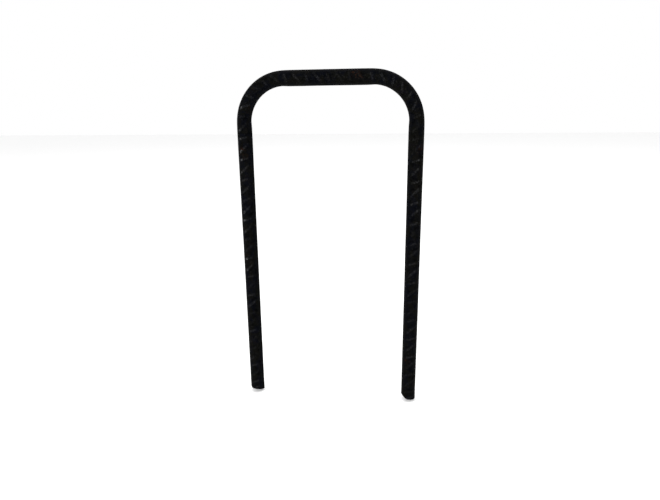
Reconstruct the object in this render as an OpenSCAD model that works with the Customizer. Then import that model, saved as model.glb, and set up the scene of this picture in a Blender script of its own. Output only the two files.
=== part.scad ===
// Ground stake: one length of ribbed reinforcing bar, bent cold into a square-topped U.
// The crown is on top, the legs point down, and the U lies in the XZ plane with its front facing -Y.
// The origin is the middle of the crown's underside, which is the ground line when the stake is driven home.

/* [Stake] */
// Height from the ends of the legs to the top of the crown
stake_h = 285; // [200:0.1:460]
// Width over both legs at the top, where they leave the bends
stake_w = 152.4; // [125:0.1:300]
// Radius of both bends, to the middle of the bar
bend_r = 34.8; // [30:0.1:45]

/* [Bar] */
// Diameter of the round core, between the ribs
core_d = 11.7; // [11.5:0.1:12.8]
// Height of the two long ribs, which run the length of the bar
long_rib_h = 0.35; // [0.2:0.05:0.8]
// Width of a long rib along its crest
long_rib_w = 2.2; // [1.5:0.1:3]
// Height of a cross rib, at the middle of its crescent
cross_rib_h = 0.6; // [0.5:0.05:0.8]
// Width of a cross rib
cross_rib_w = 2.0; // [1.4:0.1:2.4]
// Spacing of the cross ribs along the bar
rib_pitch = 8.5; // [8:0.1:12]
// Angle between the bar and every second rib of the front row
steep_rib = 46; // [44:1:60]
// Angle between the bar and the front ribs between those
flat_rib = 73; // [60:1:80]
// Angle between the bar and the ribs of the back row, which are all alike
back_rib = 60; // [50:1:75]

/* [Leg ends] */
// Width of the edge that the shear rolled over, on the outside of the left leg
left_roll_w = 4.5; // [1:0.1:5]
// Height of that edge
left_roll_h = 2.2; // [1:0.1:6]
// Width of the edge that the shear rolled over, on the inside of the right leg
right_roll_w = 4.2; // [1:0.1:5]
// Height of that edge
right_roll_h = 5.2; // [1:0.1:6]

/* [Hidden] */
$fn = 96;

core_r = core_d / 2;
bar_r = core_r + long_rib_h;            // out to the crest of a long rib
crown_z = bar_r;                        // level of the bar's middle line along the crown
foot_z = 2 * bar_r - stake_h;           // level of both cut ends
bend_x = stake_w / 2 - bar_r - bend_r;  // the bends' centres are at -bend_x and bend_x
bend_z = crown_z - bend_r;

// A cross rib's crest is an arc of radius crest_r that meets the core rib_reach degrees from its middle.
rib_reach = 74;
crest_top = core_r + cross_rib_h;
crest_shift = (crest_top ^ 2 - core_r ^ 2) / (2 * (crest_top - core_r * cos(rib_reach)));
crest_r = crest_top - crest_shift;

// How far round a bend a given turn takes the bar, and how far from the left leg's end each stretch starts
function arc_len(turn) = bend_r * turn * PI / 180;
leg_len = bend_z - foot_z;
left_bend_at = leg_len;
crown_at = left_bend_at + arc_len(90);
right_bend_at = crown_at + 2 * bend_x;
right_leg_at = right_bend_at + arc_len(90);
bar_len = right_leg_at + leg_len;
leg_x = bend_x + bend_r;                // the legs' middle lines are at -leg_x and leg_x
spare = 2;                              // a leg is drawn this much too long, then cropped

// The cross ribs, counted from the left leg's end
first_rib = 3;
rib_count = floor((bar_len - first_rib) / rib_pitch) + 1;
function rib_lean(i, face) = face < 0 ? back_rib - 90 : 90 - (i % 2 == 0 ? steep_rib : flat_rib);

// The bar is drawn lying on its back, with the U in the XY plane and its front facing +Z.

// Section of the two long ribs, on the inner and the outer side of the U
module long_rib_section() {
    base_w = long_rib_w + long_rib_h;
    for (side = [0, 180])
        rotate(side) polygon([
            [core_r / 2, -base_w / 2], [core_r, -base_w / 2], [bar_r, -long_rib_w / 2],
            [bar_r, long_rib_w / 2], [core_r, base_w / 2], [core_r / 2, base_w / 2]]);
}

// Section of a row of cross ribs at their crests, on the front (1) or the back (-1)
module crest_section(face) {
    translate([0, face * crest_shift]) circle(r = crest_r);
}

// Draws a section along the whole bar, which is the same on both sides of the crown's middle
module along_bar() {
    translate([-bend_x, crown_z]) rotate([90, 0, 90]) linear_extrude(2 * bend_x) children();
    for (side = [0, 1])
        mirror([side, 0, 0]) translate([bend_x, bend_z]) {
            rotate_extrude(angle = 90) translate([bend_r, 0]) children();
            translate([bend_r, 0]) rotate([90, 0, 0]) linear_extrude(leg_len + spare) children();
        }
}

// Moves a flat outline to a place along the bar, with its +Y the way that the bar runs
module at(distance) {
    if (distance < left_bend_at)
        translate([-leg_x, foot_z + distance]) children();
    else if (distance < crown_at)
        translate([-bend_x, bend_z]) rotate(-(distance - left_bend_at) / arc_len(1))
            translate([-bend_r, 0]) children();
    else if (distance < right_bend_at)
        translate([-bend_x + distance - crown_at, crown_z]) rotate(-90) children();
    else if (distance < right_leg_at)
        translate([bend_x, bend_z]) rotate(-90 - (distance - right_bend_at) / arc_len(1))
            translate([-bend_r, 0]) children();
    else
        translate([leg_x, foot_z + bar_len - distance]) rotate(180) children();
}

// The row of crescent ribs on the front (1) or the back (-1) of the bar
module cross_ribs(face) {
    intersection() {
        along_bar() crest_section(face);
        translate([0, 0, min(0, face * 2 * core_r)]) linear_extrude(2 * core_r)
            for (i = [0 : rib_count - 1])
                at(first_rib + i * rib_pitch) rotate(rib_lean(i, face))
                    square([4 * core_r, cross_rib_w], center = true);
    }
}

// What the shear takes off below a leg, and off the edge that its blade rolled over.
// edge_x is the left-hand edge of the leg, which is the rolled one on both legs.
module offcut(edge_x, roll_w, roll_h) {
    translate([0, 0, -2 * bar_r])
        linear_extrude(4 * bar_r)
            translate([edge_x, foot_z]) {
                translate([-bar_r, -4 * spare]) square([4 * bar_r, 4 * spare]);
                polygon([[-roll_w, 2 * roll_h], [2 * roll_w, -roll_h], [-roll_w, -roll_h]]);
            }
}

// The whole stake is one unbroken bar: leg, bend, crown, bend and leg
module bent_bar() {
    color([0.09, 0.09, 0.09]) rotate([90, 0, 0])
        difference() {
            union() {
                along_bar() circle(r = core_r);
                along_bar() long_rib_section();
                cross_ribs(1);
                cross_ribs(-1);
            }
            offcut(-leg_x - bar_r, left_roll_w, left_roll_h);
            offcut(leg_x - bar_r, right_roll_w, right_roll_h);
        }
}

bent_bar();
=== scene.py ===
import math

import bmesh
import bpy
from mathutils import Euler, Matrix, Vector, noise


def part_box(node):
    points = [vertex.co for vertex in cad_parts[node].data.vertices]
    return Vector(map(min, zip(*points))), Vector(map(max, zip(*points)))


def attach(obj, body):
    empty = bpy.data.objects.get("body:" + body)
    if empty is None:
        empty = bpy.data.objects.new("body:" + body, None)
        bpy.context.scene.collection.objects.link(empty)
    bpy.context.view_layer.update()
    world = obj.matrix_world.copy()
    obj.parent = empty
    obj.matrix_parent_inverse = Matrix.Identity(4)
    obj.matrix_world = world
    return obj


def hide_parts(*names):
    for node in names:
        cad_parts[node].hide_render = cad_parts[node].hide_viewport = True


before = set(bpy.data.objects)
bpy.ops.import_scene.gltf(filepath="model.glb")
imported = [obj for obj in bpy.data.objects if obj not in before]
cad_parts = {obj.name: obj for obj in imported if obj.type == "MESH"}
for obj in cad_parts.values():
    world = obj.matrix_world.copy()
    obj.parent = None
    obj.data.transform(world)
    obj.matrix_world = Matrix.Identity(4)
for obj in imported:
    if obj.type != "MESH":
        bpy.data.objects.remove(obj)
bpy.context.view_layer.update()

mm = 0.001

# ---------------------------------------------------------------------------
# The bar
# The stake is one length of ribbed reinforcing bar, taken to be of about 12 mm. The mill rolls it
# hot, with two long ribs and two rows of crescent ribs, and it is bent into a square-topped U.
# ---------------------------------------------------------------------------
low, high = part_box("bent_bar")
long_rib_h = 0.35 * mm
bar_r = high.z / 2                       # out to the crest of a long rib
core_r = bar_r - long_rib_h
bend_r = 34.8 * mm                       # to the middle of the bar
foot_z = low.z
crown_z = bar_r                          # level of the middle line along the crown
bend_x = high.x - bar_r - bend_r         # the bends' centres are at -bend_x and bend_x
bend_z = crown_z - bend_r
leg_x = bend_x + bend_r
leg_len = bend_z - foot_z
bend_len = bend_r * math.pi / 2
crown_len = 2 * bend_x
bar_len = 2 * leg_len + 2 * bend_len + crown_len

around = 76                              # faces round the bar
leg_cuts = ((16, 200 * mm), (25, 10 * mm))    # cuts, made in the faces longer than this
crown_cuts = ((6, 60 * mm), (17, 5 * mm))
bend_steps = 100


def picked(mesh_edges):
    """Selects these edges alone, in edit mode."""
    bpy.ops.mesh.select_all(action="DESELECT")
    for edge in mesh_edges:
        edge.select_set(True)


def slice_across(along, longer_than, cuts):
    """Cuts every face whose long edges run along an axis into rings."""
    mesh = bmesh.from_edit_mesh(bpy.context.object.data)
    long_edges = []
    for edge in mesh.edges:
        run = edge.verts[1].co - edge.verts[0].co
        if run.length > longer_than and abs(run[along]) > 0.99 * run.length:
            long_edges.append(edge)
    picked(long_edges)
    bpy.ops.mesh.subdivide(number_cuts=cuts)


bpy.ops.object.select_all(action="DESELECT")
bpy.ops.mesh.primitive_circle_add(vertices=around, radius=core_r, fill_type="NOTHING",
                                  location=(-leg_x, 0, foot_z))
bar = bpy.context.object
bar.name = bar.data.name = "ribbed_bar"
bpy.ops.object.transform_apply(location=True, rotation=True, scale=True)
bpy.ops.object.mode_set(mode="EDIT")
bpy.ops.mesh.select_mode(type="EDGE")
bpy.ops.mesh.select_all(action="SELECT")
bpy.ops.mesh.extrude_region_move(TRANSFORM_OT_translate={"value": (0, 0, leg_len)})
bpy.ops.mesh.spin(steps=bend_steps, angle=-math.pi / 2, center=(-bend_x, 0, bend_z), axis=(0, 1, 0))
bpy.ops.mesh.extrude_region_move(TRANSFORM_OT_translate={"value": (crown_len, 0, 0)})
bpy.ops.mesh.spin(steps=bend_steps, angle=-math.pi / 2, center=(bend_x, 0, bend_z), axis=(0, 1, 0))
bpy.ops.mesh.extrude_region_move(TRANSFORM_OT_translate={"value": (0, 0, -leg_len)})
for cuts, longer_than in leg_cuts:
    slice_across(2, longer_than, cuts)
for cuts, longer_than in crown_cuts:
    slice_across(0, longer_than, cuts)

# Both ends are closed with rings of faces that get smaller towards the middle of the cut
end_rings = (0.25, 0.35, 0.5, 0.6, 0.7, 0.8, 0.8, 0.8)
for end_x in (-leg_x, leg_x):
    mesh = bmesh.from_edit_mesh(bar.data)
    picked([edge for edge in mesh.edges if all(
        abs(vert.co.z - foot_z) < 0.01 * mm and abs(vert.co.x - end_x) < 2 * bar_r
        for vert in edge.verts)])
    bpy.ops.mesh.edge_face_add()
    for step in end_rings:
        bpy.ops.mesh.inset(thickness=step * mm, depth=0)
    bpy.ops.mesh.poke()
bpy.ops.mesh.select_all(action="SELECT")
bpy.ops.mesh.remove_doubles(threshold=0.002 * mm)
bpy.ops.mesh.normals_make_consistent(inside=False)
bpy.ops.object.mode_set(mode="OBJECT")


# ---------------------------------------------------------------------------
# The ribs
# The rolls press the crescent ribs into the bar, front and back, between the two long ribs.
# They lean one way all along the bar, steep and flat by turns on the front row.
# ---------------------------------------------------------------------------
long_rib_w = 2.2 * mm                    # along the crest
long_rib_flank = 0.8 * mm                # how far a long rib's hollow flank runs out
cross_rib_h = 0.6 * mm
cross_rib_w = 1.25 * mm                  # along the crest
cross_rib_flank = 0.85 * mm
rib_reach = math.radians(74)             # how far round the bar half a crescent goes
rib_pitch = 8.5 * mm
first_rib = 3 * mm
steep_rib, flat_rib, back_rib = 46, 73, 60    # degrees between the bar and the ribs
front_leans = (math.tan(math.radians(90 - steep_rib)), math.tan(math.radians(90 - flat_rib)))
back_leans = (math.tan(math.radians(back_rib - 90)),) * 2
bend_ramp = 9 * mm                       # how gradually the bar goes from straight to bent
inside_wear, outside_wear = 0.42, 0.12   # share of a long rib that bending takes off
bend_flattening = 0.16 * mm

crest_top = core_r + cross_rib_h
crest_shift = ((crest_top ** 2 - core_r ** 2)
               / (2 * (crest_top - core_r * math.cos(rib_reach))))
crest_r = crest_top - crest_shift


def ease(value):
    """0 below 0, 1 above 1, and a smooth rise between."""
    value = min(max(value, 0.0), 1.0)
    return value * value * (3 - 2 * value)


def place_on_bar(point):
    """Distance along the bar from the left leg's end, and the place out and front in its section."""
    if point.z < bend_z:
        if point.x < 0:
            return point.z - foot_z, -leg_x - point.x, -point.y
        return bar_len - (point.z - foot_z), point.x - leg_x, -point.y
    side = -1 if point.x < 0 else 1
    if abs(point.x) <= bend_x:
        return leg_len + bend_len + point.x + bend_x, point.z - crown_z, -point.y
    reach_x, reach_z = abs(point.x) - bend_x, point.z - bend_z
    turn = math.atan2(reach_z, reach_x)
    out = math.hypot(reach_x, reach_z) - bend_r
    if side < 0:
        return leg_len + bend_r * turn, out, -point.y
    return leg_len + 2 * bend_len + crown_len - bend_r * turn, out, -point.y


def outward(distance):
    """The way that out points, at a distance along the bar."""
    if distance < leg_len:
        return Vector((-1, 0, 0))
    if distance < leg_len + bend_len:
        turn = (distance - leg_len) / bend_r
        return Vector((-math.cos(turn), 0, math.sin(turn)))
    if distance < leg_len + bend_len + crown_len:
        return Vector((0, 0, 1))
    if distance < leg_len + 2 * bend_len + crown_len:
        turn = (leg_len + 2 * bend_len + crown_len - distance) / bend_r
        return Vector((math.cos(turn), 0, math.sin(turn)))
    return Vector((1, 0, 0))


def bending(distance):
    """0 on the straight stretches, 1 where the bar is fully bent."""
    into_left = distance - leg_len
    into_right = distance - (leg_len + bend_len + crown_len)
    return max(ease(into / bend_ramp + 0.5) * ease((bend_len - into) / bend_ramp + 0.5)
               for into in (into_left, into_right))


def rib_height(distance, out, front):
    """How far the long ribs and the crescent ribs stand up from the core here."""
    angle = math.atan2(front, out)
    wear = (inside_wear if out < 0 else outside_wear) * bending(distance)
    width_here = long_rib_w / 2 + 0.12 * mm * noise.noise(Vector((distance * 140, 3.1, 0)))
    long_rib = long_rib_h * (1 - wear) * ease(
        (width_here + long_rib_flank - abs(front)) / long_rib_flank)
    facing = 1 if front >= 0 else -1
    from_middle = abs(math.pi / 2 * facing - angle)
    cross_rib = 0.0
    if from_middle < rib_reach + 0.1:
        leans = front_leans if facing > 0 else back_leans
        crest = (crest_shift * math.cos(from_middle)
                 + math.sqrt(crest_r ** 2 - (crest_shift * math.sin(from_middle)) ** 2) - core_r)
        crest = max(crest, 0.0)
        nearest = round((distance - first_rib) / rib_pitch)
        for number in range(nearest - 1, nearest + 2):
            if number < 0 or first_rib + number * rib_pitch > bar_len:
                continue
            lean = leans[number % 2]
            gap = abs(distance - first_rib - number * rib_pitch + out * lean)
            gap *= math.cos(math.atan(lean))
            flank = ease((cross_rib_w / 2 + cross_rib_flank - gap) / cross_rib_flank)
            size = 1 + 0.09 * noise.noise(Vector((number * 1.7, facing * 4.3, 0.5)))
            cross_rib = max(cross_rib, crest * flank * size)
    return max(long_rib, cross_rib), long_rib, cross_rib


rib_tops = []
for vertex in bar.data.vertices:
    distance, out, front = place_on_bar(vertex.co)
    radius = math.hypot(out, front)
    height, long_rib, cross_rib = rib_height(distance, out, front)
    angle = math.atan2(front, out)
    ring = Vector((math.cos(angle) * 1.6, math.sin(angle) * 1.6, 0))
    uneven = 0.055 * mm * noise.noise(ring + Vector((0, 0, distance * 55)))
    uneven += 0.03 * mm * noise.noise(ring * 2.6 + Vector((7, 0, distance * 260)))
    flattened = bend_flattening * bending(distance) * math.cos(2 * angle)
    wanted = core_r + height + uneven - flattened
    share = min(radius / core_r, 1.0)
    grown = share * wanted
    direction = outward(distance)
    if radius > 1e-9:
        move = (grown - radius) / radius
        vertex.co += direction * out * move + Vector((0, -front * move, 0))
    rib_tops.append(cross_rib / cross_rib_h * share)


# ---------------------------------------------------------------------------
# The cut ends
# A shear crops both ends. Its blade rolls over the edge that it enters by, slides down a smooth
# band, and tears the rest off rough, so the cut slopes a little and ends in a thin burr.
# ---------------------------------------------------------------------------
squeeze = 9 * mm                         # how far up a leg the blade drags the steel


def cut_height(point):
    """How far above the foot the cut is, below a point of the section."""
    left = point.x < 0
    centre = -leg_x if left else leg_x
    across = (point.x - centre + bar_r) / (2 * bar_r)      # 0 at the left edge, 1 at the right
    roll_w, roll_h = (0.2, 0.9 * mm) if left else (0.5, 3.2 * mm)
    rolled = roll_h * max(0.0, 1 - across / roll_w) ** 1.6
    slope = (1.6 * mm if left else 1.3 * mm) * (1 - across)
    slope += (0.22 if left else 0.14) * (bar_r - point.y)
    far_edge = (0.1 * mm if left else 0.35 * mm) * max(0.0, (across - 0.82) / 0.18) ** 2
    torn = 0.16 * mm * noise.noise(point * 900) * ease((across - 0.35) / 0.2)
    return rolled + slope + far_edge + torn


cut_marks = []
for vertex in bar.data.vertices:
    lift = vertex.co.z - foot_z
    mark = 0.0
    if lift < squeeze:
        offset = Vector((vertex.co.x - math.copysign(leg_x, vertex.co.x), vertex.co.y))
        rim = ease((offset.length - (core_r - 0.55 * mm)) / (0.9 * mm))
        height = max(cut_height(vertex.co) + 0.28 * mm * rim * (lift < 0.01 * mm), 0.0)
        vertex.co.z = foot_z + height + lift * (1 - height / squeeze)
        mark = 1.0 if lift < 0.01 * mm else 0.0
    cut_marks.append(mark)

bpy.ops.object.select_all(action="DESELECT")
bar.select_set(True)
bpy.context.view_layer.objects.active = bar
bpy.ops.object.shade_smooth_by_angle(angle=math.radians(50))

# ---------------------------------------------------------------------------
# The mill scale
# The bar keeps the blue-black skin that it got on the rolls. Its rib crests are faintly worn to
# grey. A painted highlight, a grey metallic streak on the crests along the key light's glint line,
# runs over a few stretches. The bar is bare at the cuts, and has let in a few specks and blooms of
# red rust.
# ---------------------------------------------------------------------------
rust_blooms = (                          # distance along the bar, angle round it, size
    (leg_len - 22 * mm, 70, 3.6 * mm), (leg_len - 26 * mm, 100, 2.4 * mm),
    (leg_len + bend_len + crown_len - 13 * mm, 62, 4.2 * mm),
    (leg_len + bend_len + crown_len - 9 * mm, 84, 2.2 * mm),
    (bar_len - leg_len + 20 * mm, 55, 3.4 * mm), (bar_len - leg_len + 66 * mm, -70, 3.0 * mm),
    (leg_len + 12 * mm, -95, 3.4 * mm), (70 * mm, -60, 4.0 * mm), (150 * mm, -120, 2.6 * mm),
    (bar_len - 40 * mm, 110, 2.8 * mm), (bar_len / 2 - 14 * mm, -80, 3.2 * mm))

# Painted highlight: stretches where grey metallic marks are painted on the rib crests along the key
# light's glint line
painted_glint_stretches = (                     # distance along the bar, half the length, how bright
    (145 * mm, 34 * mm, 1.0), (232 * mm, 36 * mm, 0.45), (bar_len / 2, 60 * mm, 0.05),
    (bar_len - 205 * mm, 55 * mm, 0.2), (bar_len - 70 * mm, 70 * mm, 0.1), (50 * mm, 60 * mm, 0.12))
painted_glint_angle = math.radians(66)          # the painted highlight lies a little to the outside of the front, on the key light's glint line
painted_glint_half = math.radians(10)
stray_painted_glint = 0.04                         # what the painted highlight leaves outside that angle
patchiness = 0.15                        # how much of the painted highlight stays on its faintest ribs
crest_wear, crest_patchiness = 0.075, 0.4     # the faint wear that every rib's crest has

# The first attribute holds the faint wear on every rib crest together with the painted highlight
# streak
crest_wear_and_glint_marks = bar.data.attributes.new("crest_wear_and_painted_glint", "FLOAT", "POINT")
bare_marks = bar.data.attributes.new("cropped", "FLOAT", "POINT")
rust_marks = bar.data.attributes.new("rusted", "FLOAT", "POINT")
for vertex in bar.data.vertices:
    distance, out, front = place_on_bar(vertex.co)
    angle = math.atan2(front, out)
    rust = 0.0
    for bloom_at, bloom_angle, bloom_size in rust_blooms:
        turn = (angle - math.radians(bloom_angle) + math.pi) % (2 * math.pi) - math.pi
        gap = math.hypot(distance - bloom_at, turn * core_r)
        rust = max(rust, ease(1.3 - gap / bloom_size))
    near_cut = ease(1 - (vertex.co.z - foot_z) / (7 * mm)) * 0.3
    # Painted highlight: strong in the listed stretches and within an angle window round the glint
    # line
    painted_glint_stretch = max(ease((half - abs(distance - middle_at)) / (18 * mm)) * shine
                  for middle_at, half, shine in painted_glint_stretches)
    painted_glint_window = stray_painted_glint + (1 - stray_painted_glint) * ease(1.5 - abs(angle - painted_glint_angle) / painted_glint_half)
    uneven = ease((noise.noise(Vector((distance * 95, 7.3, 0.4))) + 0.22) / 0.4)
    crest_wear_and_glint = max(painted_glint_stretch * painted_glint_window * (patchiness + (1 - patchiness) * uneven),
              crest_wear * (crest_patchiness + (1 - crest_patchiness) * uneven))
    crest_wear_and_glint_marks.data[vertex.index].value = ease((rib_tops[vertex.index] - 0.74) / 0.15) * crest_wear_and_glint
    bare_marks.data[vertex.index].value = cut_marks[vertex.index]
    rust_marks.data[vertex.index].value = max(rust, near_cut)

scale_skin = bpy.data.materials.new("mill_scale")
scale_skin.use_nodes = True
nodes, links = scale_skin.node_tree.nodes, scale_skin.node_tree.links
skin = nodes["Principled BSDF"]
skin.inputs["Specular IOR Level"].default_value = 0.009
place = nodes.new("ShaderNodeTexCoord")


def grain(size, detail, roughness=0.55, distortion=0.0):
    """A noise texture on the bar's own coordinates, with features of about this size."""
    texture = nodes.new("ShaderNodeTexNoise")
    texture.inputs["Scale"].default_value = 1 / size
    texture.inputs["Detail"].default_value = detail
    texture.inputs["Roughness"].default_value = roughness
    texture.inputs["Distortion"].default_value = distortion
    links.new(place.outputs["Object"], texture.inputs["Vector"])
    return texture.outputs["Fac"]


def band(source, start, stop, low_value=0.0, high_value=1.0):
    """Stretches a stretch of a grey pattern to a range of its own."""
    stretch = nodes.new("ShaderNodeMapRange")
    stretch.interpolation_type = "SMOOTHSTEP"
    for socket, value in zip(("From Min", "From Max", "To Min", "To Max"),
                             (start, stop, low_value, high_value)):
        stretch.inputs[socket].default_value = value
    links.new(source, stretch.inputs["Value"])
    return stretch.outputs["Result"]


def sums(kind, first, second):
    """Adds, multiplies or subtracts two grey patterns, or a pattern and a number."""
    math_node = nodes.new("ShaderNodeMath")
    math_node.operation = kind
    math_node.use_clamp = True
    links.new(first, math_node.inputs[0])
    if isinstance(second, float):
        math_node.inputs[1].default_value = second
    else:
        links.new(second, math_node.inputs[1])
    return math_node.outputs["Value"]


def blend_colour(share, first, second):
    """Mixes two colours, each a plain colour or another mix, by a grey pattern."""
    mix = nodes.new("ShaderNodeMix")
    mix.data_type = "RGBA"
    links.new(share, mix.inputs["Factor"])
    for socket, colour in zip(("A", "B"), (first, second)):
        target = [s for s in mix.inputs if s.name == socket and s.type == "RGBA"][0]
        if isinstance(colour, tuple):
            target.default_value = (*colour, 1)
        else:
            links.new(colour, target)
    return [s for s in mix.outputs if s.type == "RGBA"][0]


def painted(name):
    """The grey pattern that a point attribute of the bar holds."""
    attribute = nodes.new("ShaderNodeAttribute")
    attribute.attribute_name = name
    return attribute.outputs["Fac"]


blue_black, olive_black = (0.0012, 0.0015, 0.0029), (0.0021, 0.0021, 0.0015)
brown_black, plum_black = (0.0034, 0.0022, 0.0015), (0.0021, 0.0016, 0.0029)
soot, pale_scale = (0.0002, 0.0002, 0.0003), (0.0100, 0.0098, 0.0090)
rust_red, rust_orange = (0.0080, 0.0028, 0.0017), (0.0165, 0.0068, 0.0034)
# The first grey of the next line is for the worn crests and the painted highlight streak alike
worn_and_glint_steel, cut_steel = (0.12, 0.12, 0.124), (0.0060, 0.0056, 0.0053)

broad, patchy = grain(9 * mm, 6, 0.7, 0.8), grain(3.5 * mm, 6, 0.7, 0.6)
fine, flecks = grain(0.9 * mm, 4), grain(2.0 * mm, 6, 0.7)
# Worn crests and the painted highlight streak: grey steel colour, metallic and glossier
worn_and_glint = sums("MULTIPLY", painted("crest_wear_and_painted_glint"), band(fine, 0.38, 0.62))
rust_patch = sums("MULTIPLY", painted("rusted"), band(flecks, 0.48, 0.62))
rusty = sums("ADD", rust_patch, band(flecks, 0.70, 0.75))
cropped = sums("MULTIPLY", painted("cropped"), band(fine, 0.2, 0.5, 0.55, 1.0))

colour = blend_colour(band(broad, 0.38, 0.60), blue_black, olive_black)
colour = blend_colour(band(broad, 0.58, 0.72), colour, plum_black)
colour = blend_colour(band(patchy, 0.54, 0.74), colour, brown_black)
colour = blend_colour(band(fine, 0.56, 0.70, 0.0, 0.7), colour, pale_scale)
colour = blend_colour(band(patchy, 0.34, 0.52, 0.9, 0.0), colour, soot)
colour = blend_colour(worn_and_glint, colour, worn_and_glint_steel)
colour = blend_colour(cropped, colour, cut_steel)
colour = blend_colour(rusty, colour, blend_colour(band(fine, 0.4, 0.62), rust_red, rust_orange))
links.new(colour, skin.inputs["Base Color"])
# the worn crests and the painted highlight streak are metallic
links.new(worn_and_glint, skin.inputs["Metallic"])

dull = band(patchy, 0.3, 0.7, 0.46, 0.60)
dull = sums("SUBTRACT", dull, sums("MULTIPLY", worn_and_glint, 0.26))
links.new(sums("ADD", dull, sums("MULTIPLY", rusty, 0.3)), skin.inputs["Roughness"])

flaking = nodes.new("ShaderNodeBump")
flaking.inputs["Strength"].default_value = 0.5
flaking.inputs["Distance"].default_value = 0.09 * mm
links.new(sums("ADD", sums("MULTIPLY", fine, 0.5), sums("MULTIPLY", band(patchy, 0.52, 0.56), 0.5)),
          flaking.inputs["Height"])
links.new(flaking.outputs["Normal"], skin.inputs["Normal"])

bar.data.materials.clear()
bar.data.materials.append(scale_skin)
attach(bar, "root")
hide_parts("bent_bar")

# ---------------------------------------------------------------------------
# The studio
# A plain white floor lies under the stake in a plain white room, with large soft lights overhead
# and in front, and a smaller one from the left whose glint lines up with the grey metallic painted
# highlight on the rib crests.
# ---------------------------------------------------------------------------
floor_size = 12.0
bpy.ops.object.select_all(action="DESELECT")
bpy.ops.mesh.primitive_plane_add(size=floor_size, location=(0, 0, foot_z))
sheet = bpy.context.object
sheet.name = sheet.data.name = "studio_floor"
bpy.ops.object.transform_apply(location=True, rotation=True, scale=True)
white = bpy.data.materials.new("white_sheet")
white.use_nodes = True
white.node_tree.nodes["Principled BSDF"].inputs["Base Color"].default_value = (0.94, 0.94, 0.94, 1)
white.node_tree.nodes["Principled BSDF"].inputs["Roughness"].default_value = 0.9
white.node_tree.nodes["Principled BSDF"].inputs["Specular IOR Level"].default_value = 0.1
sheet.data.materials.append(white)


def soft_light(name, location, aim, size, watts):
    """A square soft light that faces a point."""
    data = bpy.data.lights.new(name, "AREA")
    data.shape, data.size, data.energy = "SQUARE", size, watts
    light = bpy.data.objects.new(name, data)
    bpy.context.scene.collection.objects.link(light)
    light.location = location
    light.rotation_euler = (Vector(aim) - Vector(location)).to_track_quat("-Z", "Y").to_euler()


middle = (0, 0, foot_z / 2)
soft_light("overhead", (0, 0.3, 2.0), (0, 0.3, foot_z), 2.6, 24)
soft_light("front", (0.1, -1.7, 0.35), middle, 0.7, 16)
soft_light("key", (-1.3, -0.85, 0.5), middle, 0.2, 10)

sky = bpy.data.worlds.new("studio_air")
sky.use_nodes = True
sky.node_tree.nodes["Background"].inputs["Color"].default_value = (1, 1, 1, 1)
sky.node_tree.nodes["Background"].inputs["Strength"].default_value = 1.0
bpy.context.scene.world = sky
bpy.context.scene.view_settings.view_transform = "Standard"

# ---------------------------------------------------------------------------
# The camera
# It stands close in front of the stake, a little right of its middle and level with the crown,
# and looks down at it with a wide lens, so the legs run together towards the feet.
# ---------------------------------------------------------------------------
lens = bpy.data.cameras.new("camera")
lens.lens = 27.99
lens.sensor_width = 36
lens.clip_start, lens.clip_end = 0.01, 50
camera = bpy.data.objects.new("camera", lens)
bpy.context.scene.collection.objects.link(camera)
camera.location = (0.05881, -0.42132, -0.02070)
camera.rotation_euler = Euler([math.radians(turn) for turn in (75.0208, 0.5852, 7.7843)])
bpy.context.scene.camera = camera
